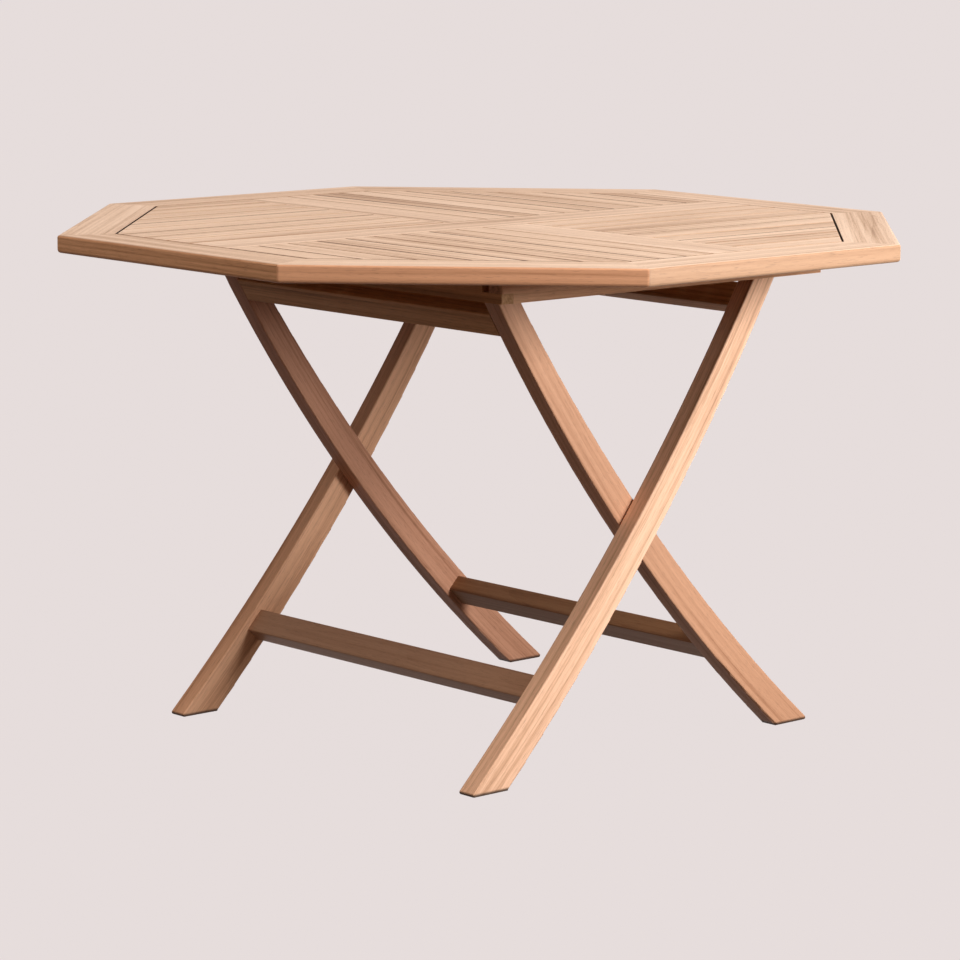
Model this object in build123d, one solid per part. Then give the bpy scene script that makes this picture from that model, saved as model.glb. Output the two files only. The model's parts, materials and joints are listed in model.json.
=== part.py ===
from build123d import *
import math
import os

# Folding garden table with an octagonal slatted top on two crossed leg frames.
# Millimetres. The origin is on the floor under the middle of the top, +Z is up,
# X lies in the plane of the crossed legs and Y runs along the rails between them.

# Top
table_height = 750.0          # floor to the face of the top
top_across = 1188.0           # octagon, flat to flat
board_thick = 25.0            # every board of the top
border_width = 78.0           # each of the eight border boards
edge_round = 3.5              # upper outer edge of the border
under_round = 5.0             # lower outer edge of the border
corner_round = 8.0            # upright corners of the octagon
board_ease = 0.8              # eased arrises of the boards
spine_width = 86.0            # middle boards of the field
slats_per_quarter = 9
slat_gap = 3.2                # open gap between parallel boards
border_gap = 2.6              # open slot between the slat ends and the border
butt_gap = 0.5                # slat end to spine

# Joinery of the top
tongue_thick = 8.0
tongue_length = 10.0
tongue_inset = 2.0            # tongue is this much narrower than its board, each side
groove_play = 0.2             # each side of a tongue
groove_room = 1.0             # past the end of a tongue
spline_thick = 6.0            # loose tongue in a mitre
spline_length = 44.0          # along the mitre
spline_width = 22.0           # across the mitre
glue_gap = 0.1                # each side of a glued tongue or tenon

# Bearers and cross bar under the top
bearer_thick = 26.0
bearer_depth = 39.0
bearer_left = -304.5          # X of the end at the cross bar
bearer_right = 325.0
cross_bar_thick = 22.0
lap_depth = 14.0              # cross bar left below the bearer's end
lap_room = 13.0               # cross bar's notch past the bearer
lap_round = 5.0               # upright corner of the bearer's end

# Legs
leg_thick = 31.0
foot_flat = 70.0              # length of the cut on the floor
pivot_width = 44.0            # leg depth at the crossing
leg_top_width = 36.0          # outer leg depth at the top bolt
inner_top_flat = 40.0         # length of the inner leg's level top cut
leg_ease = 2.5
toe_round = 3.2
outer_foot_x = -295.0         # middle of the foot
inner_foot_x = 349.0
inner_head_x = -262.0         # middle of the inner leg's top cut
crossing_x = 8.0              # pivot where the legs cross
crossing_z = 345.0
hinge_x = 250.0               # bolt that hinges the top on the outer legs
hinge_drop = 21.0             # bolt centre below the boards
leg_gap = 2.0                 # between neighbouring legs and bearers, across Y
rest_gap = 0.3                # inner leg heads below the boards
outer_leg_face = 342.0        # |Y| of the outer legs' outside

# Rails
rail_depth = 38.5             # along the leg
rail_thick = 28.0
rail_ease = 2.0
outer_stretcher_z = 123.0     # height of the outer legs' low rail
inner_stretcher_z = 134.0     # height of the inner legs' low rail
top_rail_drop = 72.0          # high rails' middle below the boards
tenon_length = 14.0
tenon_shoulder = 6.0          # tenon is this much smaller than its rail, each side
tenon_room = 0.5              # past the end of a tenon

# Hardware
bolt_radius = 4.0
running_gap = 0.08            # bolt in a turning leg
thread_gap = 0.03             # bolt in an insert or nut
head_radius = 6.5
head_height = 4.5
head_gap = 0.3                # bolt head or nut to the face that it holds
plug_radius = 8.0
plug_thick = 6.0
plug_room = 1.0               # plug to bolt head
insert_radius = 6.0
insert_length = 18.0
washer_radius = 9.0
washer_thick = 1.6
dome_radius = 9.5
dome_height = 4.4
neck_length = 5.0             # square neck that keeps the bolt from turning
nut_radius = 7.5
nut_length = 8.0
nut_overrun = 1.5             # bolt end past the nut
screw_radius = 2.2
screw_head_radius = 4.0
screw_head_depth = 3.0
screw_bite = 14.0             # screw in the board
screw_point = 3.0
screw_inset = 5.5             # from the inner face of a bearer
screw_past_hinge = 32.5       # last screw of a bearer, past the hinge bolt

# Worked out from the sizes above
TAN_SIDE = math.tan(math.radians(22.5))
top_apothem = top_across / 2
field_apothem = top_apothem - border_width
board_bottom = table_height - board_thick
board_middle = table_height - board_thick / 2
spine_half = spine_width / 2
slat_width = (field_apothem - spine_half - slat_gap) / slats_per_quarter - slat_gap
bearer_bottom = board_bottom - bearer_depth
bearer_inner_face = outer_leg_face + leg_gap
bearer_outer_face = bearer_inner_face + bearer_thick
screw_line = bearer_inner_face + screw_inset
outer_inside = outer_leg_face - leg_thick
inner_leg_face = outer_inside - leg_gap
inner_inside = inner_leg_face - leg_thick
hinge_z = board_bottom - hinge_drop
inner_head_z = board_bottom - rest_gap
top_rail_z = board_bottom - top_rail_drop
lap_z = bearer_bottom + lap_depth

OUTER_FOOT = Vector(outer_foot_x, 0, 0)
INNER_FOOT = Vector(inner_foot_x, 0, 0)
CROSSING = Vector(crossing_x, 0, crossing_z)
HINGE = Vector(hinge_x, 0, hinge_z)
INNER_HEAD = Vector(inner_head_x, 0, inner_head_z)
ALONG_X = Vector(1, 0, 0)
ALONG_Y = Vector(0, 1, 0)


def octagon(apothem):
    """Face of the octagon whose flats lie this far from the middle."""
    half = apothem * TAN_SIDE
    corners = [(apothem, -half), (apothem, half), (half, apothem), (-half, apothem)]
    return Polygon(*corners, *[(-x, -y) for x, y in corners], align=None)


def turned(shape, degrees):
    return Rot(0, 0, degrees) * shape


def span_box(low, high):
    """Box between two corners."""
    size = [b - a for a, b in zip(low, high)]
    return Pos(*low) * Box(*size, align=(Align.MIN, Align.MIN, Align.MIN))


def round_bar(radius, x, z, y_low, y_high):
    """Cylinder along Y."""
    middle = Plane(origin=(x, y_low, z), z_dir=(0, 1, 0))
    return middle * Cylinder(radius, y_high - y_low, align=(Align.CENTER, Align.CENTER, Align.MIN))


def mirrored_pair(front):
    """The front piece and its mirror image at the rear."""
    return [front, mirror(front, about=Plane.XZ)]


# Top: border

def mitre_spline(gap):
    """Loose tongue across the mitre between the first two border boards."""
    radius = (field_apothem + top_apothem) / 2 / math.cos(math.radians(22.5))
    key = Box(spline_length + 2 * gap, spline_width + 2 * gap, spline_thick + 2 * gap)
    return turned(Pos(radius, 0, board_middle) * key, 22.5)


def border_ring():
    """The whole border in one piece, rounded outside."""
    slab = extrude(octagon(top_apothem), board_thick)
    slab = fillet(slab.edges().filter_by(Axis.Z), corner_round)
    slab = fillet(slab.edges().group_by(Axis.Z)[-1], edge_round)
    slab = fillet(slab.edges().group_by(Axis.Z)[0], under_round)
    return Pos(0, 0, board_bottom) * (slab - extrude(octagon(field_apothem), board_thick))


def border_board():
    """Border board whose outside faces +X."""
    reach = 2 * top_apothem
    sector = Polygon((0, 0), (reach, -reach * TAN_SIDE), (reach, reach * TAN_SIDE), align=None)
    board = border_ring() & Pos(0, 0, board_bottom) * extrude(sector, board_thick)
    board = board.solid()
    inner_edges = board.edges().filter_by(Axis.Y).sort_by(Axis.X)[:2]
    board = fillet(inner_edges, board_ease)
    groove_end = field_apothem + tongue_length + groove_room
    groove_half = tongue_thick / 2 + groove_play
    board -= span_box(
        (field_apothem - board_ease, -top_apothem, board_middle - groove_half),
        (groove_end, top_apothem, board_middle + groove_half),
    )
    slot = mitre_spline(glue_gap)
    return board - slot - turned(slot, -45)


BORDER_NAMES = [
    "border_right",
    "border_back_right",
    "border_back",
    "border_back_left",
    "border_left",
    "border_front_left",
    "border_front",
    "border_front_right",
]


def border_nodes():
    board = border_board()
    nodes = {name: turned(board, 45 * i) for i, name in enumerate(BORDER_NAMES)}
    spline = mitre_spline(0)
    nodes["mitre_splines"] = [turned(spline, 45 * i) for i in range(len(BORDER_NAMES))]
    return nodes


# Top: field of spine, half spines and slats

def field_plank(low, high, tongue_low, tongue_high):
    """Board between two plan corners, cut to the border, with a tongue in its edge."""
    body = Rectangle(high[0] - low[0], high[1] - low[1], align=(Align.MIN, Align.MIN))
    body = (Pos(*low) * body) & octagon(field_apothem - border_gap)
    plank = Pos(0, 0, board_bottom) * extrude(body, board_thick)
    plank = fillet(plank.edges().group_by(Axis.Z)[-1], board_ease)
    tongue = Rectangle(
        tongue_high[0] - tongue_low[0],
        tongue_high[1] - tongue_low[1],
        align=(Align.MIN, Align.MIN),
    )
    tongue = (Pos(*tongue_low) * tongue) & octagon(field_apothem + tongue_length)
    return plank + Pos(0, 0, board_middle - tongue_thick / 2) * extrude(tongue, tongue_thick)


def edge_groove(length):
    """Cutter for the groove in the +X edge of a middle board."""
    depth = tongue_length + groove_room
    height = tongue_thick + 2 * groove_play
    return Pos(spine_half - depth, 0, board_middle) * Box(
        2 * depth, length, height, align=(Align.MIN, Align.CENTER, Align.CENTER)
    )


def spine_board():
    """Middle board along X, right across the field, grooved on both edges."""
    tongue_half = spine_half - tongue_length - groove_room - tongue_inset
    spine = field_plank(
        (-top_apothem, -spine_half),
        (top_apothem, spine_half),
        (-top_apothem, -tongue_half),
        (top_apothem, tongue_half),
    )
    groove = edge_groove(top_across)
    return spine - turned(groove, 90) - turned(groove, -90)


def half_spine():
    """Middle board along Y, from the spine to the front border."""
    tongue_half = spine_half - tongue_length - groove_room - tongue_inset
    board = field_plank(
        (-spine_half, -top_apothem),
        (spine_half, -spine_half - butt_gap),
        (-tongue_half, -top_apothem),
        (tongue_half, -spine_half + tongue_length),
    )
    return board - edge_groove(2 * top_across)


def slat_middle(number):
    """Distance of a slat's centre line from the middle of the table."""
    return spine_half + (number - 0.5) * (slat_width + slat_gap) + slat_gap / 2


def slat(number):
    """Slat of the front left quarter, which runs along Y; number 1 is nearest the middle."""
    left = -slat_middle(number) - slat_width / 2
    right = left + slat_width
    return field_plank(
        (left, -top_apothem),
        (right, -spine_half - butt_gap),
        (left + tongue_inset, -top_apothem),
        (right - tongue_inset, -spine_half + tongue_length),
    )


def field_nodes():
    half = half_spine()
    nodes = {
        "spine_board": spine_board(),
        "half_spine_front": half,
        "half_spine_back": turned(half, 180),
    }
    for number in range(1, slats_per_quarter + 1):
        board = slat(number)
        nodes[f"lengthwise_slat_{number}"] = [board, turned(board, 180)]
        nodes[f"crosswise_slat_{number}"] = [turned(board, 90), turned(board, 270)]
    return nodes


# Top: bearers, cross bar and their screws

def bearer():
    """Front bearer, with the upper part of the corner lap at its left end."""
    bar = span_box(
        (bearer_left, -bearer_outer_face, bearer_bottom),
        (bearer_right, -bearer_inner_face, board_bottom),
    )
    bar -= span_box(
        (bearer_left, -bearer_outer_face, bearer_bottom),
        (bearer_left + cross_bar_thick, -bearer_inner_face, lap_z),
    )
    corner = bar.edges().filter_by(Axis.Z).sort_by(Axis.X)[:2].sort_by(Axis.Y)[0]
    bar = fillet(corner, lap_round)
    bolt_hole = round_bar(
        bolt_radius + thread_gap, hinge_x, hinge_z, -bearer_outer_face, -bearer_inner_face
    )
    return bar - bolt_hole - square_neck(glue_gap)


def cross_bar():
    """Bar along Y under the left side, with the lower part of both corner laps."""
    bar = span_box(
        (bearer_left, -bearer_outer_face, bearer_bottom),
        (bearer_left + cross_bar_thick, bearer_outer_face, board_bottom),
    )
    lap = span_box(
        (bearer_left, -bearer_outer_face, lap_z),
        (bearer_left + cross_bar_thick, -bearer_inner_face + lap_room, board_bottom),
    )
    for cut in mirrored_pair(lap):
        bar -= cut
    return bar


def screw_places():
    """Plan positions of the screws: four in each bearer and four in the cross bar."""
    front = [(-slat_middle(number), -screw_line) for number in (2, 4)]
    front += [(slat_middle(2), -screw_line), (hinge_x + screw_past_hinge, -screw_line)]
    bar_x = bearer_left + cross_bar_thick / 2
    bar = [(bar_x, side * slat_middle(number)) for side in (-1, 1) for number in (2, 4)]
    return front + [(x, -y) for x, y in front] + bar


def screw(place, gap):
    """Countersunk wood screw from below, or its hole."""
    radius = screw_radius + gap
    head = screw_head_radius + gap
    shoulder = bearer_bottom + screw_head_depth
    tip = board_bottom + screw_bite
    profile = Polyline(
        (0, 0, bearer_bottom),
        (head, 0, bearer_bottom),
        (radius, 0, shoulder),
        (radius, 0, tip - screw_point),
        (0, 0, tip),
        close=True,
    )
    return Pos(*place, 0) * revolve(make_face(profile), Axis.Z)


def drilled(shape, holes):
    """The piece with the screw holes that meet it."""
    box = shape.bounding_box()
    for place, hole in holes:
        in_x = box.min.X - screw_radius < place[0] < box.max.X + screw_radius
        in_y = box.min.Y - screw_radius < place[1] < box.max.Y + screw_radius
        if in_x and in_y:
            shape -= hole
    return shape


# Hinge of the top: domed bolts through the bearers and the outer legs

def square_neck(gap):
    side = 2 * (bolt_radius + gap)
    return span_box(
        (hinge_x - side / 2, -bearer_outer_face, hinge_z - side / 2),
        (hinge_x + side / 2, -bearer_outer_face + neck_length + gap, hinge_z + side / 2),
    )


def hinge_bolt():
    """Bolt with a domed head outside the bearer."""
    end = -outer_inside + head_gap + washer_thick + head_gap + nut_length + nut_overrun
    shank = round_bar(bolt_radius, hinge_x, hinge_z, -bearer_outer_face, end)
    rise = Vector(hinge_x, -bearer_outer_face - dome_height, hinge_z)
    rim = Vector(hinge_x + dome_radius, -bearer_outer_face, hinge_z)
    other_rim = Vector(hinge_x - dome_radius, -bearer_outer_face, hinge_z)
    middle = Vector(hinge_x, -bearer_outer_face, hinge_z)
    crown = ThreePointArc(rim, rise, other_rim).trim(0, 0.5)
    outline = make_face([Line(middle, rim), crown, Line(rise, middle)])
    dome = revolve(outline, Axis(middle, ALONG_Y))
    return shank + square_neck(0) + dome


def washer(x, z, y_low):
    ring = round_bar(washer_radius, x, z, y_low, y_low + washer_thick)
    return ring - round_bar(bolt_radius + running_gap, x, z, y_low, y_low + washer_thick)


def hinge_nut():
    y_low = -outer_inside + head_gap + washer_thick + head_gap
    seat = Plane(origin=(hinge_x, y_low, hinge_z), z_dir=(0, 1, 0))
    body = seat * extrude(RegularPolygon(nut_radius, 6), nut_length)
    return body - round_bar(bolt_radius + thread_gap, hinge_x, hinge_z, y_low, y_low + nut_length)


def top_frame_nodes():
    front = bearer()
    places = screw_places()
    return {
        "bearer_front": front,
        "bearer_back": mirror(front, about=Plane.XZ),
        "cross_bar": cross_bar(),
        "bearer_screws": [screw(place, 0) for place in places],
        "hinge_bolts": mirrored_pair(hinge_bolt()),
        "hinge_spacers": mirrored_pair(
            washer(hinge_x, hinge_z, -bearer_inner_face + (leg_gap - washer_thick) / 2)
        ),
        "hinge_washers": mirrored_pair(washer(hinge_x, hinge_z, -outer_inside + head_gap)),
        "hinge_nuts": mirrored_pair(hinge_nut()),
    }


# Legs: each is bowed on one large arc from the foot through the crossing to its head

class Bow:
    """Centre line of a leg, an arc in the XZ plane."""

    def __init__(self, foot, head):
        a, b, c = foot, CROSSING, head
        across = 2 * (a.X * (b.Z - c.Z) + b.X * (c.Z - a.Z) + c.X * (a.Z - b.Z))
        squares = [p.X ** 2 + p.Z ** 2 for p in (a, b, c)]
        x = squares[0] * (b.Z - c.Z) + squares[1] * (c.Z - a.Z) + squares[2] * (a.Z - b.Z)
        z = squares[0] * (c.X - b.X) + squares[1] * (a.X - c.X) + squares[2] * (b.X - a.X)
        self.centre = Vector(x / across, 0, z / across)
        self.radius = (CROSSING - self.centre).length
        self.side = math.copysign(1, CROSSING.X - self.centre.X)

    def at_height(self, z):
        """Point of the centre line at a height."""
        reach = math.sqrt(self.radius ** 2 - (z - self.centre.Z) ** 2)
        return Vector(self.centre.X + self.side * reach, 0, z)

    def outward(self, point):
        """Direction towards the convex side, square to the leg."""
        return (point - self.centre).normalized()

    def upward(self, point):
        """Direction along the leg, towards its head."""
        out = self.outward(point)
        return Vector(-out.Z * self.side, 0, out.X * self.side)


OUTER_BOW = Bow(OUTER_FOOT, HINGE)
INNER_BOW = Bow(INNER_FOOT, INNER_HEAD)


def leg_solid(outline, outside_y):
    """Leg of the front pair from its side view, eased on every long edge."""
    face = make_face(outline)
    leg = Pos(0, -outside_y, 0) * extrude(face, leg_thick, dir=(0, 1, 0))
    toe = leg.edges().filter_by(Axis.Y).group_by(Axis.Z)[0].sort_by(lambda e: abs(e.center().X))[-1]
    leg = fillet(toe, toe_round)
    return fillet(leg.edges().filter_by(Axis.Y, reverse=True), leg_ease)


def outer_leg():
    """Front outer leg, with a round head about the hinge bolt."""
    at_pivot = OUTER_BOW.outward(CROSSING) * (pivot_width / 2)
    at_head = OUTER_BOW.outward(HINGE) * (leg_top_width / 2)
    crown = HINGE + OUTER_BOW.upward(HINGE) * (leg_top_width / 2)
    toe = OUTER_FOOT - ALONG_X * (foot_flat / 2)
    heel = OUTER_FOOT + ALONG_X * (foot_flat / 2)
    outline = [
        ThreePointArc(toe, CROSSING - at_pivot, HINGE - at_head),
        ThreePointArc(HINGE - at_head, crown, HINGE + at_head),
        ThreePointArc(HINGE + at_head, CROSSING + at_pivot, heel),
        Line(heel, toe),
    ]
    leg = leg_solid(outline, outer_leg_face)
    for rail in (OUTER_STRETCHER, OUTER_TOP_RAIL):
        leg -= rail.mortise()
    leg -= round_bar(bolt_radius + running_gap, hinge_x, hinge_z, -outer_leg_face, -outer_inside)
    socket = insert_length + 2 * head_gap
    return leg - round_bar(
        insert_radius + thread_gap, crossing_x, crossing_z, -outer_inside - socket, -outer_inside
    )


def inner_leg():
    """Front inner leg, cut level under the boards."""
    at_pivot = INNER_BOW.outward(CROSSING) * (pivot_width / 2)
    half_head = ALONG_X * (inner_top_flat / 2)
    toe = INNER_FOOT + ALONG_X * (foot_flat / 2)
    heel = INNER_FOOT - ALONG_X * (foot_flat / 2)
    outline = [
        ThreePointArc(toe, CROSSING - at_pivot, INNER_HEAD + half_head),
        Line(INNER_HEAD + half_head, INNER_HEAD - half_head),
        ThreePointArc(INNER_HEAD - half_head, CROSSING + at_pivot, heel),
        Line(heel, toe),
    ]
    leg = leg_solid(outline, inner_leg_face)
    for rail in (INNER_STRETCHER, INNER_TOP_RAIL):
        leg -= rail.mortise()
    leg -= round_bar(bolt_radius + running_gap, crossing_x, crossing_z, -inner_leg_face, -inner_inside)
    return leg - round_bar(
        plug_radius + glue_gap, crossing_x, crossing_z, -inner_inside - counterbore, -inner_inside
    )


# Rails between the legs of a frame, with stub tenons

class Rail:
    """Rail along Y whose section lies along the leg at a height."""

    def __init__(self, bow, height, inside, flush):
        point = bow.at_height(height)
        if flush:
            share = (height - crossing_z) / (hinge_z - crossing_z)
            leg_width = pivot_width + share * (leg_top_width - pivot_width)
            point += bow.outward(point) * (leg_width - rail_thick) / 2
        self.frame = Plane(origin=point, x_dir=bow.upward(point), z_dir=ALONG_Y)
        self.length = 2 * inside

    def tenons(self, gap, room):
        shrink = 2 * (tenon_shoulder - gap)
        length = self.length + 2 * (tenon_length + room)
        return self.frame * Box(rail_depth - shrink, rail_thick - shrink, length)

    def mortise(self):
        return self.tenons(glue_gap, tenon_room)

    def solid(self):
        bar = self.frame * Box(rail_depth, rail_thick, self.length)
        bar = fillet(bar.edges().filter_by(Axis.Y), rail_ease)
        return bar + self.tenons(0, 0)


OUTER_STRETCHER = Rail(OUTER_BOW, outer_stretcher_z, outer_inside, flush=False)
INNER_STRETCHER = Rail(INNER_BOW, inner_stretcher_z, inner_inside, flush=False)
OUTER_TOP_RAIL = Rail(OUTER_BOW, top_rail_z, outer_inside, flush=True)
INNER_TOP_RAIL = Rail(INNER_BOW, top_rail_z, inner_inside, flush=True)


# Pivot where the legs cross: a bolt from inside the inner leg into an insert in the outer leg

counterbore = plug_thick + plug_room + head_height


def pivot_bolt():
    head_y = -inner_inside - counterbore
    head = round_bar(head_radius, crossing_x, crossing_z, head_y + head_gap, head_y + head_height)
    tip = -outer_inside - insert_length
    return head + round_bar(bolt_radius, crossing_x, crossing_z, tip, head_y + head_height)


def pivot_insert():
    y_low = -outer_inside - insert_length - head_gap
    y_high = -outer_inside - head_gap
    sleeve = round_bar(insert_radius, crossing_x, crossing_z, y_low, y_high)
    return sleeve - round_bar(bolt_radius + thread_gap, crossing_x, crossing_z, y_low, y_high)


def pivot_plug():
    return round_bar(plug_radius, crossing_x, crossing_z, -inner_inside - plug_thick, -inner_inside)


def frame_nodes():
    outer = outer_leg()
    inner = inner_leg()
    spacer = washer(crossing_x, crossing_z, -outer_inside + (leg_gap - washer_thick) / 2)
    return {
        "outer_leg_front": outer,
        "outer_leg_back": mirror(outer, about=Plane.XZ),
        "outer_stretcher": OUTER_STRETCHER.solid(),
        "outer_top_rail": OUTER_TOP_RAIL.solid(),
        "inner_leg_front": inner,
        "inner_leg_back": mirror(inner, about=Plane.XZ),
        "inner_stretcher": INNER_STRETCHER.solid(),
        "inner_top_rail": INNER_TOP_RAIL.solid(),
        "pivot_bolts": mirrored_pair(pivot_bolt()),
        "pivot_spacers": mirrored_pair(spacer),
        "pivot_inserts": mirrored_pair(pivot_insert()),
        "pivot_plugs": mirrored_pair(pivot_plug()),
    }


def with_screw_holes(nodes):
    """The boards, bearers and cross bar, drilled for the bearer screws."""
    holes = [(place, screw(place, glue_gap)) for place in screw_places()]
    finished = {}
    for name, shape in nodes.items():
        if name in ("bearer_screws", "mitre_splines") or name.startswith("hinge"):
            finished[name] = shape
        elif isinstance(shape, list):
            finished[name] = [drilled(solid, holes) for solid in shape]
        else:
            finished[name] = drilled(shape, holes)
    return finished


def table_nodes():
    top = {**border_nodes(), **field_nodes(), **top_frame_nodes()}
    return {**with_screw_holes(top), **frame_nodes()}


os.makedirs("parts", exist_ok=True)
for node_name, node_shape in table_nodes().items():
    if isinstance(node_shape, list):
        node_shape = Compound([solid for piece in node_shape for solid in piece.solids()])
    export_step(node_shape, f"parts/{node_name}.step")
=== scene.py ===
# %% [markdown]
# # A folding garden table in teak
# The table has an octagonal top of narrow boards on two crossed leg frames.
# The solid model already holds every board, leg and bolt in its true size. This lesson
# loads it, gives each piece of wood its own grain, dresses the metal, and then sets up
# the floor, the light and the camera of a studio photograph.

# %% Load the solid model
import json
import math
import random

import bpy
from mathutils import Matrix, Vector


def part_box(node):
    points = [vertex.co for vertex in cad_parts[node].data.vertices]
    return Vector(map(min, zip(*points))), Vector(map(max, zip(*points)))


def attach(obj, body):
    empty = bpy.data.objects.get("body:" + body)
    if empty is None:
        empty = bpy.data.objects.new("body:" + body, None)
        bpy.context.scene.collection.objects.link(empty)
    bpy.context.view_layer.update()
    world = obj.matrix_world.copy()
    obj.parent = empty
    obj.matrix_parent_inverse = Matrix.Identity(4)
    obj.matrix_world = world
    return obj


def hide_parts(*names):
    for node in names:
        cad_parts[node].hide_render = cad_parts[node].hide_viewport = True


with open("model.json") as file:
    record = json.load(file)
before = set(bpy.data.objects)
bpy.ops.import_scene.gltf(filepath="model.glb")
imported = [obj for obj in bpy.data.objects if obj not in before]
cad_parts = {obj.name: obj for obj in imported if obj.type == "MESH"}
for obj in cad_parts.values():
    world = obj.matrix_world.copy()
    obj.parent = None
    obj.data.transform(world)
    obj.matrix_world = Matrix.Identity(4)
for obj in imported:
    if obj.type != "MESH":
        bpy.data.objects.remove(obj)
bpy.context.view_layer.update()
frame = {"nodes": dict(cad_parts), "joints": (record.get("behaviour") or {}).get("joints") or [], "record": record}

nodes = frame["nodes"]
pivots = {joint["name"]: Vector(joint["pos_m"]) for joint in frame["joints"]}
feet = {mount["name"]: Vector(mount["pos_m"]) for mount in frame["record"]["mounts"]}

# %% [markdown]
# ## A small helper for node trees
# Materials in Blender are trees of nodes. Writing them by hand takes three steps for each
# node: make it, set it, link it. One helper does all three, so the trees below stay short
# enough to read. A value that is a socket becomes a link, and anything else is set.

# %% Node helpers
def add_node(tree, kind, values=None, **settings):
    """New node of a kind, with its settings and its input values or links."""
    node = tree.nodes.new(kind)
    for name, value in settings.items():
        setattr(node, name, value)
    for name, value in (values or {}).items():
        if isinstance(value, bpy.types.NodeSocket):
            tree.links.new(value, node.inputs[name])
        else:
            node.inputs[name].default_value = value
    return node


def calculate(tree, operation, first, second=0.0):
    """Output of a Math node."""
    node = add_node(tree, "ShaderNodeMath", {0: first, 1: second}, operation=operation)
    return node.outputs["Value"]


def ramped(tree, value, start, end, to_start=0.0, to_end=1.0):
    """Value spread from one range onto another, without going past its ends."""
    node = add_node(
        tree,
        "ShaderNodeMapRange",
        {"Value": value, "From Min": start, "From Max": end, "To Min": to_start, "To Max": to_end},
    )
    return node.outputs["Result"]


def linear(red, green, blue):
    """Colour for a socket, from the 0 to 255 sRGB values that a picture program shows."""
    channels = [c / 255 for c in (red, green, blue)]
    return [c / 12.92 if c <= 0.04045 else ((c + 0.055) / 1.055) ** 2.4 for c in channels] + [1.0]


print("helpers ready")

# %% [markdown]
# ## Teak figure
# A board shows the tree's growth rings cut lengthwise. So the figure is made as a tree
# grows: rings about a heart line, a little wandering, with fine fibres and pores drawn out
# along the trunk. An image of wood would need unwrapping and would repeat. A solid pattern
# is the same inside and out, so faces, edges and ends of one board agree with each other.
#
# The group takes a place in the board's own frame, in metres, with X along the grain and
# the heart line at Y = Z = 0. It gives a tone, from dark to pale, and the pores.

# %% Teak figure
ring_gap = 0.0046             # between growth rings
ring_wander = 0.016           # how far a ring strays
ring_power = 3.0              # higher makes the dark late wood of a ring narrower
streak_depth = 0.85           # long bands of paler and darker wood
patch_depth = 0.9             # slow change of tone along and across a board
fleck_depth = 0.25            # short silky dashes
pore_range = (0.6, 0.72)      # noise at which a pore starts and is full

# Features per metre along the grain and across it, octaves and their roughness
stray_noise = (1.6, 14.0, 3.0, 0.55)
fibre_noise = (1.0, 150.0, 4.0, 0.65)
streak_noise = (0.7, 52.0, 2.0, 0.55)
patch_noise = (1.1, 10.0, 2.0, 0.55)
fleck_noise = (40.0, 420.0, 2.0, 0.55)
pore_noise = (60.0, 1300.0, 1.0, 0.55)
noise_middle = 0.5


def stretched_noise(tree, place, pattern):
    """Noise drawn out along the grain."""
    along, across, detail, roughness = pattern
    drawn = add_node(
        tree, "ShaderNodeVectorMath", {0: place, 1: (along, across, across)}, operation="MULTIPLY"
    )
    noise = add_node(
        tree,
        "ShaderNodeTexNoise",
        {"Vector": drawn.outputs["Vector"], "Scale": 1.0, "Detail": detail, "Roughness": roughness},
    )
    return noise.outputs["Fac"]


def swing(tree, place, pattern, depth):
    """Noise that swings about zero, times a depth."""
    noise = stretched_noise(tree, place, pattern)
    return calculate(tree, "MULTIPLY", calculate(tree, "SUBTRACT", noise, noise_middle), depth)


def make_teak_figure():
    """Group of nodes that turns a place in the log into a tone and the pores."""
    group = bpy.data.node_groups.new("teak figure", "ShaderNodeTree")
    sockets = group.interface
    sockets.new_socket("Place", in_out="INPUT", socket_type="NodeSocketVector")
    for name in ("Lean", "Ring Depth", "Fibre Depth", "Tone Shift"):
        sockets.new_socket(name, in_out="INPUT", socket_type="NodeSocketFloat")
    sockets.new_socket("Tone", in_out="OUTPUT", socket_type="NodeSocketFloat")
    sockets.new_socket("Pores", in_out="OUTPUT", socket_type="NodeSocketFloat")
    given = group.nodes.new("NodeGroupInput").outputs
    place = given["Place"]

    off_axis = add_node(
        group, "ShaderNodeVectorMath", {0: place, 1: (0, 1, 1)}, operation="MULTIPLY"
    )
    radius = add_node(
        group, "ShaderNodeVectorMath", {0: off_axis.outputs["Vector"]}, operation="LENGTH"
    )
    along = add_node(group, "ShaderNodeSeparateXYZ", {"Vector": place}).outputs["X"]
    leaned = calculate(group, "MULTIPLY", along, given["Lean"])
    radius = calculate(group, "ADD", radius.outputs["Value"], leaned)
    stray = stretched_noise(group, place, stray_noise)
    stray = calculate(group, "MULTIPLY", stray, ring_wander)
    radius = calculate(group, "ADD", radius, stray)
    ring = calculate(group, "FRACT", calculate(group, "DIVIDE", radius, ring_gap))
    late_wood = calculate(group, "POWER", ring, ring_power)

    tone = swing(group, place, fibre_noise, given["Fibre Depth"])
    tone = calculate(group, "ADD", tone, swing(group, place, streak_noise, streak_depth))
    tone = calculate(group, "ADD", tone, swing(group, place, patch_noise, patch_depth))
    tone = calculate(group, "ADD", tone, swing(group, place, fleck_noise, fleck_depth))
    rings = calculate(group, "MULTIPLY", late_wood, given["Ring Depth"])
    tone = calculate(group, "SUBTRACT", tone, rings)
    tone = calculate(group, "ADD", tone, given["Tone Shift"])

    pores = ramped(group, stretched_noise(group, place, pore_noise), *pore_range)
    result = group.nodes.new("NodeGroupOutput").inputs
    group.links.new(tone, result["Tone"])
    group.links.new(pores, result["Pores"])
    return group


teak_figure = make_teak_figure()
print(f"teak figure: {len(teak_figure.nodes)} nodes")

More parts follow.
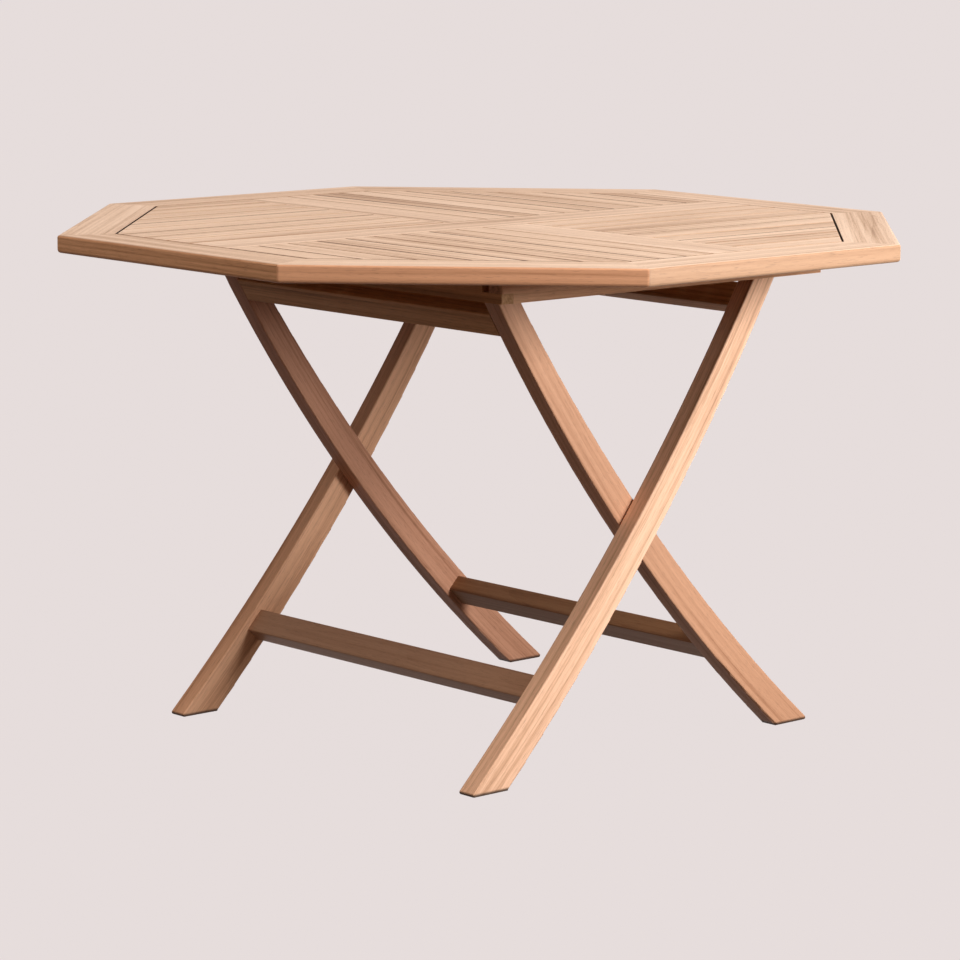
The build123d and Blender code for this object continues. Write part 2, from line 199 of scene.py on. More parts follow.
# %% [markdown]
# ## A teak material for one board
# Sanded teak without varnish is matt, but it has a soft sheen when seen at a low angle. The
# sawn ends drink more oil and look darker, so the ends are found from the direction of the
# surface against the grain. The sides that face each other in the gaps of the top get a painted
# shade, a little different in each gap, so a board also says which of its sides stand in a gap.
# What faces up is made paler: a painted sheen, and partly sun bleaching. The tone picks a
# colour from four shades of the board's own colour, the pores and the painted shade darken it,
# and tone and pores raise a fine bump.

# %% Teak finish
pore_shade = 0.72             # colour left in a pore
end_shade = 0.8               # colour left on a sawn end
end_range = (0.5, 0.72)       # facing along the grain, from a side to an end
# Faces that point up get a painted sheen, partly sun bleaching, over this range of direction
up_range = (0.8, 0.97)        # facing up, from a side to a bleached top
tone_relief = 0.6             # height of the palest tone, against a pore's depth of 1
bump_strength = 0.25
bump_depth = 0.0004
gloss_tones = (0.2, 0.9)      # a dark and a pale tone
gloss_range = (0.62, 0.48)    # their roughness
wood_ior = 1.48
wood_specular = 0.2
up = (0, 0, 1)
tone_shades = (               # a tone, and its share of a board's red, green and blue
    (0.05, (0.66, 0.59, 0.53)),
    (0.36, (0.89, 0.86, 0.83)),
    (0.6, (1.0, 1.0, 1.0)),
    (0.95, (1.07, 1.09, 1.11)),
)


def shades(colour):
    """Dark streak, ring, body and pale shade of a board's colour, each with its tone."""
    return [
        (tone, linear(*[channel * share for channel, share in zip(colour, shares)]))
        for tone, shares in tone_shades
    ]


def facing(tree, direction):
    """How far the surface points in a direction, from -1 to 1."""
    normal = add_node(tree, "ShaderNodeTexCoord").outputs["Normal"]
    dot = add_node(tree, "ShaderNodeVectorMath", {0: normal, 1: direction}, operation="DOT_PRODUCT")
    return dot.outputs["Value"]


def teak(tree, place, along, colour, lean, depths, tone_shift, painted_shade=None, sheen_and_bleach=None):
    """Finishes a tree: place is the board's own frame, along its grain; the painted shade darkens gaps and soles,
    and faces that point up take a paler colour, a painted sheen with some bleaching.
    """
    figure = add_node(tree, "ShaderNodeGroup", node_tree=teak_figure)
    tree.links.new(place, figure.inputs["Place"])
    figure.inputs["Lean"].default_value = lean
    figure.inputs["Ring Depth"].default_value = depths[0]
    figure.inputs["Fibre Depth"].default_value = depths[1]
    figure.inputs["Tone Shift"].default_value = tone_shift
    tone = figure.outputs["Tone"]
    pores = figure.outputs["Pores"]

    ramp = add_node(tree, "ShaderNodeValToRGB", {"Fac": tone})
    stops = ramp.color_ramp.elements
    while len(stops) < len(tone_shades):
        stops.new(0.5)
    for stop, (position, shade) in zip(stops, shades(colour)):
        stop.position = position
        stop.color = shade

    end_on = calculate(tree, "ABSOLUTE", facing(tree, along))
    light = calculate(
        tree,
        "MULTIPLY",
        ramped(tree, pores, 0.0, 1.0, 1.0, pore_shade),
        ramped(tree, end_on, *end_range, 1.0, end_shade),
    )
    # Painted shade, in the gaps of the top and along the soles of the legs
    if painted_shade:
        light = calculate(tree, "MULTIPLY", light, painted_shade)
    colour_now = add_node(
        tree, "ShaderNodeVectorMath", {0: ramp.outputs["Color"], "Scale": light}, operation="SCALE"
    ).outputs["Vector"]
    # Painted sheen, partly sun bleaching: faces that point up turn paler
    if sheen_and_bleach:
        gain = [new / old - 1 for new, old in zip(linear(*sheen_and_bleach)[:3], linear(*colour)[:3])]
        upward = ramped(tree, facing(tree, up), *up_range)
        sun = add_node(
            tree,
            "ShaderNodeVectorMath",
            {0: upward, 1: gain, 2: (1, 1, 1)},
            operation="MULTIPLY_ADD",
        ).outputs["Vector"]
        colour_now = add_node(
            tree, "ShaderNodeVectorMath", {0: colour_now, 1: sun}, operation="MULTIPLY"
        ).outputs["Vector"]

    height = calculate(tree, "SUBTRACT", calculate(tree, "MULTIPLY", tone, tone_relief), pores)
    bump = add_node(
        tree,
        "ShaderNodeBump",
        {"Height": height, "Strength": bump_strength, "Distance": bump_depth},
    )
    shader = tree.nodes["Principled BSDF"]
    tree.links.new(colour_now, shader.inputs["Base Color"])
    tree.links.new(ramped(tree, tone, *gloss_tones, *gloss_range), shader.inputs["Roughness"])
    tree.links.new(bump.outputs["Normal"], shader.inputs["Normal"])
    shader.inputs["IOR"].default_value = wood_ior
    shader.inputs["Specular IOR Level"].default_value = wood_specular


def new_material(name):
    """Material with a plain surface node, ready for a tree."""
    material = bpy.data.materials.new(name)
    material.use_nodes = True
    return material


print("teak finish ready")

# %% [markdown]
# ## Straight boards
# Each board has its own place in the log. A Mapping node turns the table's frame so that X
# runs along the board, and moves the heart line near or far: near gives tall arches, far
# gives straight lines. A seeded generator draws these, so every run gives the same table.

# %% Straight boards
log_seed = 27
draw = random.Random(log_seed)
quarter_turn = math.pi / 2
eighth_turn = math.pi / 4
log_reach = 5.0               # along the log, either way
board_aside = 0.035           # heart line to the side of a board, either way
board_above = (0.012, 0.05)   # heart line above a board
board_lean = 0.03             # of the rings along a board, either way
board_depths = (0.14, 1.3)    # of rings and of fibres
body_tone = 0.62
tone_jitter = 0.09            # between one board and the next
# Painted shade on the sides in the gaps fades in over these ranges of direction
side_range = (0.75, 0.95)     # facing up or down, from a side in a gap to a face
inside_range = (0.3, 0.6)     # facing the field, from a face to the side in a gap


def board_middle(node):
    """Middle of a board; of a pair of slats, the one nearer the camera."""
    mesh = nodes[node].data
    points = [v.co for v in mesh.vertices]
    if "slat" in node:
        points = [p for p in points if p.y < 0]
    low = Vector([min(p[i] for p in points) for i in range(3)])
    high = Vector([max(p[i] for p in points) for i in range(3)])
    return (low + high) / 2


def draw_heart(aside, above):
    """Heart line of the log in a board's own frame."""
    return Vector(
        (draw.uniform(-log_reach, log_reach), draw.uniform(-aside, aside), draw.uniform(*above))
    )


def board_material(node, colour, heading, painted_shade=None, sheen_and_bleach=None):
    """Teak for a straight board that runs at an angle to X."""
    material = new_material(f"teak {node}".replace("_", " "))
    tree = material.node_tree
    turn = Matrix.Rotation(-heading, 3, "Z")
    middle = turn @ board_middle(node)
    heart = draw_heart(board_aside, board_above)
    place = add_node(
        tree,
        "ShaderNodeMapping",
        {
            "Vector": add_node(tree, "ShaderNodeTexCoord").outputs["Object"],
            "Location": heart - middle,
            "Rotation": (0, 0, -heading),
        },
    ).outputs["Vector"]
    along = (math.cos(heading), math.sin(heading), 0)
    lean = draw.uniform(-board_lean, board_lean)
    shift = body_tone + draw.uniform(-tone_jitter, tone_jitter)
    shade_factor = painted_shade(tree) if painted_shade else None
    teak(tree, place, along, colour, lean, board_depths, shift, shade_factor, sheen_and_bleach)
    return material


def shaded_gap_sides(gap_shade):
    """Painted shade for a board of the field, on its four sides, which all stand in gaps."""
    def painted_shade(tree):
        upward = calculate(tree, "ABSOLUTE", facing(tree, up))
        return ramped(tree, upward, *side_range, 1 - gap_shade, 1.0)
    return painted_shade


def shaded_inner_side(gap_shade, heading):
    """Painted shade for a border board, on its inner side alone."""
    inward = (-math.sin(heading), math.cos(heading), 0)
    def painted_shade(tree):
        return ramped(tree, facing(tree, inward), *inside_range, 1.0, 1 - gap_shade)
    return painted_shade


def dress(node, material):
    """Gives a piece of the solid model its one material."""
    nodes[node].data.materials.clear()
    nodes[node].data.materials.append(material)


fresh_colour = (200, 150, 112)
# Paler colours of faces that point up: painted sheen, partly sun bleaching
sheen_and_bleach_colour = (217, 184, 157)
spine_sheen_and_bleach_colour = (221, 189, 163)
bearer_colour = (216, 160, 120)
rail_colour = (168, 124, 95)
low_rail_colour = (150, 104, 70)
# Painted light: the rails and the cross bar deep in shade under the top are paler, to lift that shade
shade_lifted_rail_colour = (216, 162, 112)
border_order = (
    "right", "back_right", "back", "back_left", "left", "front_left", "front", "front_right",
)
# Painted light: the left border, in shade, is paler, the front-left one more orange, and the front one, facing the
# soft box, darker, so the light on them evens out
border_colours_evening_light = {
    "left": (222, 166, 124),
    "front_left": (205, 146, 108),
    "front": (174, 132, 101),
}

# Share of the colour that painted shade takes from the sides in a gap, board by board
border_gap_shade = (0.5, 0.5, 0.5, 0.9, 0.5, 0.5, 0.5, 0.9)
spine_gap_shade = 0.3
lengthwise_gap_shade = (0.4, 0.92, 0.6, 0.5, 0.88, 0.92, 0.4, 0.75, 0.85)
crosswise_gap_shade = (0.3, 0.25, 0.5, 0.8, 0.25, 0.85, 0.4, 0.25, 0.3)

boards = 0
for step, (side, gap_shade) in enumerate(zip(border_order, border_gap_shade)):
    node = f"border_{side}"
    heading = quarter_turn + step * eighth_turn
    colour = border_colours_evening_light.get(side, fresh_colour)
    painted_shade = shaded_inner_side(gap_shade, heading)
    dress(node, board_material(node, colour, heading, painted_shade, sheen_and_bleach_colour))
    boards += 1
for number, gap_shades in enumerate(zip(lengthwise_gap_shade, crosswise_gap_shade), start=1):
    for kind, heading, gap_shade in zip(("lengthwise", "crosswise"), (quarter_turn, 0), gap_shades):
        node = f"{kind}_slat_{number}"
        painted_shade = shaded_gap_sides(gap_shade)
        dress(node, board_material(node, fresh_colour, heading, painted_shade, sheen_and_bleach_colour))
        boards += 1
spine_headings = {
    "spine_board": 0,
    "half_spine_front": quarter_turn,
    "half_spine_back": quarter_turn,
}
for node, heading in spine_headings.items():
    painted_shade = shaded_gap_sides(spine_gap_shade)
    dress(node, board_material(node, fresh_colour, heading, painted_shade, spine_sheen_and_bleach_colour))
    boards += 1
straight_pieces = {
    "mitre_splines": (bearer_colour, 0),
    "bearer_front": (bearer_colour, 0),
    "bearer_back": (bearer_colour, 0),
    "cross_bar": (shade_lifted_rail_colour, quarter_turn),
    "outer_stretcher": (rail_colour, quarter_turn),
    "outer_top_rail": (shade_lifted_rail_colour, quarter_turn),
    "inner_stretcher": (low_rail_colour, quarter_turn),
    "inner_top_rail": (shade_lifted_rail_colour, quarter_turn),
}
for node, (colour, heading) in straight_pieces.items():
    dress(node, board_material(node, colour, heading))
    boards += 1
print(f"{boards} straight boards with their own grain")

# %% [markdown]
# ## Bowed legs
# The legs are bowed, and their grain runs with the bow. Straight grain would cut across the
# edges and look sawn from a plank. So the legs use arc coordinates: distance along the bow
# as X and distance from the bow's middle line as Y. The bow passes through the foot, the
# pivot and the head, which the frame gives, so nothing is measured twice. The last few
# millimetres above the soles are darkened with painted shade, where the feet meet the floor.
# The plugs over the pivot bolts are cut from the same board as the leg, so they share its grain.

# %% Bowed legs
inner_low, inner_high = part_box("inner_leg_front")
half_head = 0.02              # of the inner leg's level top cut
inner_head = Vector((inner_low.x + half_head, 0, inner_high.z))
leg_aside = 0.03              # heart line to the side of a leg, either way
leg_above = (0.02, 0.06)      # heart line beyond a leg
leg_lean = 0.02
leg_depths = (0.14, 1.4)      # of rings and of fibres
# Painted shade along the soles, where the feet meet the floor: the heights where it is full and where it ends, and
# the colour it leaves
sole_range = (0.003, 0.006)   # height at which the wood is fully dark, and clean
sole_painted_shade = 0.15             # colour left on a sole


def bow(foot, middle, head):
    """Centre and radius of the circle through three points of a leg, in the XZ plane."""
    a, b, c = [Vector((p.x, p.z)) for p in (foot, middle, head)]
    doubled = 2 * (a.x * (b.y - c.y) + b.x * (c.y - a.y) + c.x * (a.y - b.y))
    squares = [p.length_squared for p in (a, b, c)]
    x = squares[0] * (b.y - c.y) + squares[1] * (c.y - a.y) + squares[2] * (a.y - b.y)
    z = squares[0] * (c.x - b.x) + squares[1] * (a.x - c.x) + squares[2] * (b.x - a.x)
    centre = Vector((x / doubled, 0, z / doubled))
    return centre, (b - Vector((centre.x, centre.z))).length


def leg_material(node, colour, foot, head):
    """Teak whose grain follows the bow of a leg."""
    material = new_material(f"teak {node}".replace("_", " "))
    tree = material.node_tree
    centre, radius = bow(foot, pivots["leg_fold"], head)
    side = math.copysign(1, pivots["leg_fold"].x - centre.x)
    spot = add_node(tree, "ShaderNodeTexCoord").outputs["Object"]
    height = add_node(tree, "ShaderNodeSeparateXYZ", {"Vector": spot}).outputs["Z"]
    spot = add_node(tree, "ShaderNodeVectorMath", {0: spot, 1: centre}, operation="SUBTRACT")
    parts = add_node(tree, "ShaderNodeSeparateXYZ", {"Vector": spot.outputs["Vector"]}).outputs
    sideways = calculate(tree, "MULTIPLY", parts["X"], side)
    angle = calculate(tree, "ARCTAN2", parts["Z"], sideways)
    squared = calculate(
        tree,
        "ADD",
        calculate(tree, "MULTIPLY", parts["Z"], parts["Z"]),
        calculate(tree, "MULTIPLY", parts["X"], parts["X"]),
    )
    reach = calculate(tree, "SUBTRACT", calculate(tree, "SQRT", squared), radius)
    arc = add_node(
        tree,
        "ShaderNodeCombineXYZ",
        {"X": calculate(tree, "MULTIPLY", angle, radius), "Y": reach, "Z": parts["Y"]},
    )
    heart = draw_heart(leg_aside, leg_above)
    across = board_middle(node).y
    place = add_node(
        tree,
        "ShaderNodeVectorMath",
        {0: arc.outputs["Vector"], 1: heart - Vector((0, 0, across))},
        operation="ADD",
    ).outputs["Vector"]
    along = head - foot
    along.y = 0
    along.normalize()
    lean = draw.uniform(-leg_lean, leg_lean)
    # Painted shade at the sole
    sole_shading = ramped(tree, height, *sole_range, sole_painted_shade, 1.0)
    teak(tree, place, along, colour, lean, leg_depths, body_tone, sole_shading)
    return material


leg_colours = {
    "outer_leg_front": (234, 183, 148),
    "outer_leg_back": (212, 156, 119),
    "inner_leg_front": (191, 138, 105),
    "inner_leg_back": (186, 130, 100),
}
for leg, colour in leg_colours.items():
    if leg.startswith("outer"):
        dress(leg, leg_material(leg, colour, feet["outer_foot"], pivots["top_tilt"]))
    else:
        dress(leg, leg_material(leg, colour, feet["inner_foot"], inner_head))
dress("pivot_plugs", nodes["inner_leg_back"].data.materials[0])
print(f"{len(leg_colours)} legs with grain along the bow")

# %% [markdown]
# ## Metal
# The bolts, washers and screws are stainless steel, and the threaded inserts are brass. Both
# are turned or rolled, so the gloss varies a little from place to place. That variation goes
# into the roughness, because the colour of plain metal is even.

# %% Metal finishes
steel_colour = (196, 195, 191)
steel_gloss = (0.22, 0.42)    # smoothest and roughest place
brass_colour = (203, 168, 98)
brass_gloss = (0.2, 0.4)
polish_features = 900.0       # per metre
polish_detail = 3.0


def metal(name, colour, gloss_ends):
    """Plain metal whose roughness wanders between two values."""
    material = new_material(name)
    tree = material.node_tree
    spot = add_node(tree, "ShaderNodeTexCoord").outputs["Object"]
    noise = add_node(
        tree,
        "ShaderNodeTexNoise",
        {"Vector": spot, "Scale": polish_features, "Detail": polish_detail},
    )
    gloss = ramped(tree, noise.outputs["Fac"], 0.0, 1.0, *gloss_ends)
    shader = tree.nodes["Principled BSDF"]
    shader.inputs["Metallic"].default_value = 1.0
    shader.inputs["Base Color"].default_value = linear(*colour)
    tree.links.new(gloss, shader.inputs["Roughness"])
    return material


stainless = metal("stainless steel", steel_colour, steel_gloss)
brass = metal("brass", brass_colour, brass_gloss)
steel_pieces = (
    "bearer_screws", "hinge_bolts", "hinge_spacers", "hinge_washers", "hinge_nuts",
    "pivot_bolts", "pivot_spacers",
)
for node in steel_pieces:
    dress(node, stainless)
dress("pivot_inserts", brass)
print(f"{len(steel_pieces)} steel pieces and the brass inserts")

# %% [markdown]
# ## Screws under the bearers
# Twelve countersunk screws hold the bearers and the cross bar to the boards. Their heads lie
# flush in the wood underneath and have a cross slot. One screw is made from a cone, a
# cylinder and a point with Geometry Nodes, the slot is cut out of it, and the finished screw
# is set on twelve points. So a change of size is one number, for all of them at once.

# %% Geometry Nodes helpers
def new_geometry_tree(name, sizes):
    """Geometry tree with an input for each named size, and its group input's outputs."""
    tree = bpy.data.node_groups.new(name, "GeometryNodeTree")
    tree.interface.new_socket("Geometry", in_out="INPUT", socket_type="NodeSocketGeometry")
    for size in sizes:
        tree.interface.new_socket(size, in_out="INPUT", socket_type="NodeSocketFloat")
    tree.interface.new_socket("Geometry", in_out="OUTPUT", socket_type="NodeSocketGeometry")
    return tree, tree.nodes.new("NodeGroupInput").outputs


def raised(tree, geometry, height):
    """The geometry, moved up by a height."""
    shift = add_node(tree, "ShaderNodeCombineXYZ", {"Z": height}).outputs["Vector"]
    moved = add_node(tree, "GeometryNodeTransform", {"Geometry": geometry, "Translation": shift})
    return moved.outputs["Geometry"]


def combined(tree, operation, pieces, cutters=()):
    """Union of pieces, what they have in common, or the first piece less the cutters."""
    node = add_node(tree, "GeometryNodeMeshBoolean", operation=operation, solver="EXACT")
    if operation == "DIFFERENCE":
        tree.links.new(pieces[0], node.inputs["Mesh 1"])
        pieces = cutters
    for piece in reversed(pieces):
        tree.links.new(piece, node.inputs["Mesh 2"])
    return node.outputs["Mesh"]


def set_on_points(tree, points, piece, rotation, material):
    """Ends a tree: the piece on every point, as one real mesh with a material."""
    values = {"Points": points, "Instance": piece}
    if rotation:
        values["Rotation"] = rotation
    placed = add_node(tree, "GeometryNodeInstanceOnPoints", values).outputs["Instances"]
    real = add_node(tree, "GeometryNodeRealizeInstances", {"Geometry": placed}).outputs["Geometry"]
    dressed = add_node(tree, "GeometryNodeSetMaterial", {"Geometry": real, "Material": material})
    result = tree.nodes.new("NodeGroupOutput").inputs
    tree.links.new(dressed.outputs["Geometry"], result["Geometry"])


def grown(name, places, tree, sizes, body, node):
    """Runs a tree on points and keeps its result as a plain piece in place of a node."""
    mesh = bpy.data.meshes.new(f"{name}_points")
    mesh.from_pydata(places, [], [])
    seedling = bpy.data.objects.new(f"{name}_points", mesh)
    bpy.context.scene.collection.objects.link(seedling)
    modifier = seedling.modifiers.new(name, "NODES")
    modifier.node_group = tree
    for item in tree.interface.items_tree:
        if item.in_out == "INPUT" and item.name in sizes:
            modifier[item.identifier] = sizes[item.name]
    evaluated = seedling.evaluated_get(bpy.context.evaluated_depsgraph_get())
    piece = bpy.data.objects.new(name, bpy.data.meshes.new_from_object(evaluated))
    bpy.data.objects.remove(seedling)
    bpy.context.scene.collection.objects.link(piece)
    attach(piece, body)
    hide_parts(node)
    print(f"{name}: {len(places)} placed, {len(piece.data.polygons)} faces")


print("geometry helpers ready")

# %% Countersunk screws
screw_sizes = {
    "Head Radius": 0.004,
    "Head Depth": 0.003,
    "Shank Radius": 0.0022,
    "Point Length": 0.003,
    "Slot Width": 0.0011,
    "Slot Reach": 0.0048,
    "Slot Depth": 0.0018,
}
screw_sides = 32              # of its round faces
tip_reach = 0.0001            # below the highest point, still the tip
place_digits = 4              # of a screw's place in metres


def screw_tree():
    """Tree that makes one screw, head down, and sets it on every point."""
    tree, size = new_geometry_tree("countersunk screw", [*screw_sizes, "Length"])
    head = add_node(
        tree,
        "GeometryNodeMeshCone",
        {
            "Vertices": screw_sides,
            "Radius Bottom": size["Head Radius"],
            "Radius Top": size["Shank Radius"],
            "Depth": size["Head Depth"],
        },
    ).outputs["Mesh"]
    shank_length = calculate(tree, "SUBTRACT", size["Length"], size["Point Length"])
    shank = add_node(
        tree,
        "GeometryNodeMeshCylinder",
        {"Vertices": screw_sides, "Radius": size["Shank Radius"], "Depth": shank_length},
    ).outputs["Mesh"]
    shank = raised(tree, shank, calculate(tree, "MULTIPLY", shank_length, 0.5))
    point = add_node(
        tree,
        "GeometryNodeMeshCone",
        {
            "Vertices": screw_sides,
            "Radius Bottom": size["Shank Radius"],
            "Radius Top": 0.0,
            "Depth": size["Point Length"],
        },
    ).outputs["Mesh"]
    point = raised(tree, point, shank_length)
    deep = calculate(tree, "MULTIPLY", size["Slot Depth"], 2.0)
    arms = []
    for sides in (("X", "Y"), ("Y", "X")):
        box = add_node(
            tree,
            "ShaderNodeCombineXYZ",
            {sides[0]: size["Slot Reach"], sides[1]: size["Slot Width"], "Z": deep},
        ).outputs["Vector"]
        arms.append(add_node(tree, "GeometryNodeMeshCube", {"Size": box}).outputs["Mesh"])
    whole = combined(tree, "UNION", [head, shank, point])
    slotted = combined(tree, "DIFFERENCE", [whole], arms)
    set_on_points(tree, size["Geometry"], slotted, None, stainless)
    return tree


screws_low, screws_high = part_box("bearer_screws")
screw_points = [v.co for v in nodes["bearer_screws"].data.vertices]
tips = [point for point in screw_points if point.z > screws_high.z - tip_reach]
screw_places = sorted(
    {(round(tip.x, place_digits), round(tip.y, place_digits), screws_low.z) for tip in tips}
)
screw_sizes["Length"] = screws_high.z - screws_low.z
grown(
    "cross_slot_screws", screw_places, screw_tree(), screw_sizes,
    "top", "bearer_screws",
)

# %% [markdown]
# ## Lock nuts of the hinge
# A lock nut is a hexagon with its corners turned off, and a round collar that grips the bolt.
# The turned corners are what a hexagon and a cone have in common, so the tree intersects the
# two. Each nut points towards the middle of the table, which the tree reads from its place.

# %% Lock nuts
nut_sizes = {
    "Corner Radius": 0.0075,
    "Hexagon Length": 0.0062,
    "Collar Radius": 0.0057,
    "Collar Length": 0.0018,
    "Bore Radius": 0.0041,
}
nut_sides = 48                # of its round faces
turned_share = 0.9            # of the corner radius, left at the collar
bore_share = 4.0              # of the hexagon's length, so the bore goes right through


def nut_tree():
    """Tree that makes one nut and sets it on every point, facing the table's middle."""
    tree, size = new_geometry_tree("lock nut", nut_sizes)
    length = size["Hexagon Length"]
    half = calculate(tree, "MULTIPLY", length, 0.5)
    hexagon = add_node(
        tree,
        "GeometryNodeMeshCylinder",
        {"Vertices": 6, "Radius": size["Corner Radius"], "Depth": length},
    ).outputs["Mesh"]
    hexagon = raised(tree, hexagon, half)
    narrow = calculate(tree, "MULTIPLY", size["Corner Radius"], turned_share)
    turned = add_node(
        tree,
        "GeometryNodeMeshCone",
        {
            "Vertices": nut_sides,
            "Radius Bottom": calculate(tree, "ADD", narrow, length),
            "Radius Top": narrow,
            "Depth": length,
        },
    ).outputs["Mesh"]
    corners_off = combined(tree, "INTERSECT", [hexagon, turned])
    collar_length = calculate(tree, "ADD", half, size["Collar Length"])
    collar = add_node(
        tree,
        "GeometryNodeMeshCylinder",
        {"Vertices": nut_sides, "Radius": size["Collar Radius"], "Depth": collar_length},
    ).outputs["Mesh"]
    collar_middle = calculate(tree, "ADD", half, calculate(tree, "MULTIPLY", collar_length, 0.5))
    collar = raised(tree, collar, collar_middle)
    bore_length = calculate(tree, "MULTIPLY", length, bore_share)
    bore = add_node(
        tree,
        "GeometryNodeMeshCylinder",
        {"Vertices": nut_sides, "Radius": size["Bore Radius"], "Depth": bore_length},
    ).outputs["Mesh"]
    whole = combined(tree, "UNION", [corners_off, collar])
    bored = combined(tree, "DIFFERENCE", [whole], [bore])
    place = add_node(tree, "GeometryNodeInputPosition").outputs["Position"]
    inward = add_node(
        tree, "ShaderNodeVectorMath", {0: place, 1: (0, -1, 0)}, operation="MULTIPLY"
    ).outputs["Vector"]
    rotation = add_node(tree, "FunctionNodeAlignRotationToVector", {"Vector": inward}, axis="Z")
    set_on_points(tree, size["Geometry"], bored, rotation.outputs["Rotation"], stainless)
    return tree


nuts_low, nuts_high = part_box("hinge_nuts")
hinge = pivots["top_tilt"]
nut_places = [(hinge.x, nuts_low.y, hinge.z), (hinge.x, nuts_high.y, hinge.z)]
grown("lock_nuts", nut_places, nut_tree(), nut_sizes, "top", "hinge_nuts")

# %% [markdown]
# ## Floor and background
# The photograph has an even, pale, slightly pink background without a horizon. The floor and
# the world show that colour straight to the camera, and to the metal's reflections. For every
# other ray the floor is a plain surface, so it takes the light and keeps a faint shadow.

# %% Floor and background
background = linear(230, 221, 220)
floor_half = 90.0             # metres
floor_colour = linear(60, 42, 28)
floor_glow = 1.06             # strength of the background colour on the floor
floor_share = 0.06            # of real light in what the camera sees of the floor
room_colour = linear(255, 234, 214)
room_rise = (0.0, 0.6)        # upward part of a direction, from the floor to well above
room_light = (0.1, 0.42)      # strength of the room's light there


def seen_directly(tree):
    """1 for rays from the camera, a reflection or a clear surface, else 0."""
    path = add_node(tree, "ShaderNodeLightPath").outputs
    seen = calculate(tree, "MAXIMUM", path["Is Camera Ray"], path["Is Glossy Ray"])
    return calculate(tree, "MAXIMUM", seen, path["Is Transmission Ray"])


def make_floor():
    """Floor that shows the background colour and takes a faint shadow."""
    mesh = bpy.data.meshes.new("floor")
    corners = [(-1, -1), (1, -1), (1, 1), (-1, 1)]
    mesh.from_pydata([(x * floor_half, y * floor_half, 0) for x, y in corners], [], [(0, 1, 2, 3)])
    floor = bpy.data.objects.new("floor", mesh)
    bpy.context.scene.collection.objects.link(floor)
    material = new_material("floor")
    tree = material.node_tree
    surface = tree.nodes["Principled BSDF"]
    surface.inputs["Base Color"].default_value = floor_colour
    surface.inputs["Roughness"].default_value = 1.0
    surface.inputs["Specular IOR Level"].default_value = 0.0
    glow = add_node(tree, "ShaderNodeEmission", {"Color": background, "Strength": floor_glow})
    share = calculate(tree, "MULTIPLY", seen_directly(tree), 1 - floor_share)
    blend = add_node(tree, "ShaderNodeMixShader", {"Fac": share})
    tree.links.new(surface.outputs["BSDF"], blend.inputs[1])
    tree.links.new(glow.outputs["Emission"], blend.inputs[2])
    tree.links.new(blend.outputs["Shader"], tree.nodes["Material Output"].inputs["Surface"])
    mesh.materials.append(material)


def make_world():
    """Room whose light grows with height, behind an even background."""
    world = bpy.data.worlds.new("studio")
    world.use_nodes = True
    tree = world.node_tree
    sky = tree.nodes["Background"]
    sky.inputs["Color"].default_value = room_colour
    direction = add_node(tree, "ShaderNodeTexCoord").outputs["Generated"]
    height = add_node(tree, "ShaderNodeSeparateXYZ", {"Vector": direction}).outputs["Z"]
    tree.links.new(ramped(tree, height, *room_rise, *room_light), sky.inputs["Strength"])
    backdrop = add_node(tree, "ShaderNodeBackground", {"Color": background, "Strength": 1.0})
    blend = add_node(tree, "ShaderNodeMixShader", {"Fac": seen_directly(tree)})
    tree.links.new(sky.outputs["Background"], blend.inputs[1])
    tree.links.new(backdrop.outputs["Background"], blend.inputs[2])
    tree.links.new(blend.outputs["Shader"], tree.nodes["World Output"].inputs["Surface"])
    bpy.context.scene.world = world


make_floor()
make_world()
print(f"floor of {2 * floor_half:.0f} m, room light from {room_light[0]} to {room_light[1]}")

# %% [markdown]
# ## Studio light
# In the photograph the front faces are brightest near the upper right, the left faces are in
# shade, and the top throws its shadow over the heads of the rear legs. So the main light is a
# square soft box at the front right, a little above the top. A box lamp fades with distance,
# which a sun lamp does not. A wide sun from above keeps the top pale, and a weak one from the
# left lifts the left faces.

# %% Studio light
table_middle = Vector((0, 0, 0.5))
key_power = 80                # watts
key_place = (0.6, -2.45, 1.24)
key_size = 0.8                # metres
key_colour = (0.92, 1, 1.07)
suns = {                      # strength, then turn, height and width in degrees
    "overhead": (1.65, -10, 78, 60),
    "side": (0.32, -75, 33, 50),
}


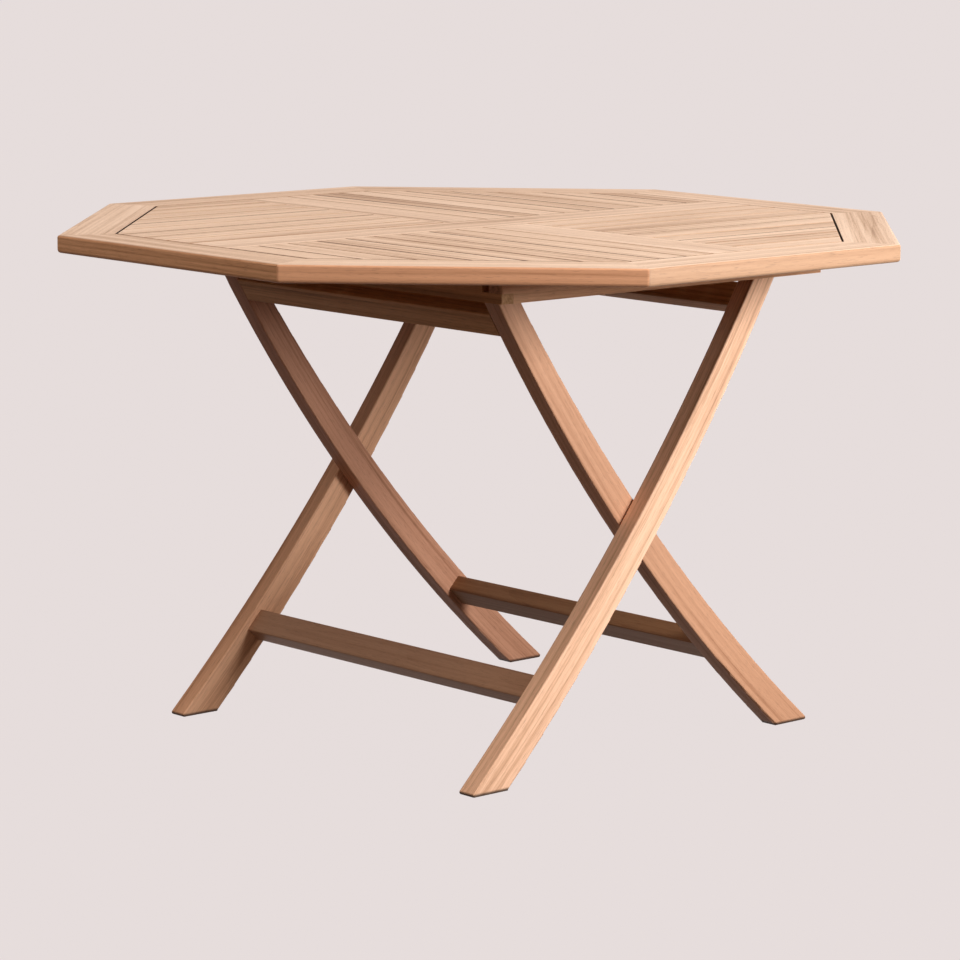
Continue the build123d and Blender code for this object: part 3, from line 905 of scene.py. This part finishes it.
def add_soft_box(name, power, place, size, colour):
    """Square lamp that looks at the middle of the table."""
    data = bpy.data.lights.new(name, "AREA")
    data.energy = power
    data.size = size
    data.color = colour
    lamp = bpy.data.objects.new(name, data)
    lamp.location = place
    lamp.rotation_euler = (table_middle - Vector(place)).to_track_quat("-Z", "Y").to_euler()
    bpy.context.scene.collection.objects.link(lamp)


def add_sun(name, strength, turn, height, width):
    """Soft sun from a compass turn, counted from the front towards the right, in degrees."""
    data = bpy.data.lights.new(name, "SUN")
    data.energy = strength
    data.angle = math.radians(width)
    lamp = bpy.data.objects.new(name, data)
    lamp.rotation_euler = (math.radians(90 - height), 0, math.radians(turn))
    bpy.context.scene.collection.objects.link(lamp)


add_soft_box("key", key_power, key_place, key_size, key_colour)
for name, values in suns.items():
    add_sun(name, *values)
print(f"a soft box and {len(suns)} suns")

# %% [markdown]
# ## Camera
# The camera's place, direction and lens were found by fitting the octagon's corners and the
# edges of the legs to the photograph. The lens is long, so the perspective is gentle.

# %% Camera
picture_width = 960           # pixels
focal_pixels = 3790.8
sensor_width = 36             # millimetres
camera_place = Vector((-3.7303, -4.1213, 1.2902))
camera_turn = -42.09          # degrees about Z; 0 looks along +Y
camera_dip = 9.429            # degrees below the horizon
camera_roll = 0.327           # degrees about the line of sight


def make_camera():
    """Camera of the photograph, made the scene's camera."""
    data = bpy.data.cameras.new("camera")
    data.sensor_width = sensor_width
    data.lens = focal_pixels / picture_width * sensor_width
    data.clip_end = 2 * floor_half
    camera = bpy.data.objects.new("camera", data)
    turn = Matrix.Rotation(math.radians(camera_turn), 4, "Z")
    dip = Matrix.Rotation(math.radians(90 - camera_dip), 4, "X")
    roll = Matrix.Rotation(math.radians(camera_roll), 4, "Z")
    camera.matrix_world = Matrix.Translation(camera_place) @ turn @ dip @ roll
    bpy.context.scene.collection.objects.link(camera)
    bpy.context.scene.camera = camera
    return camera


camera = make_camera()
bpy.context.scene.view_settings.view_transform = "Standard"
print(f"lens of {camera.data.lens:.0f} mm")
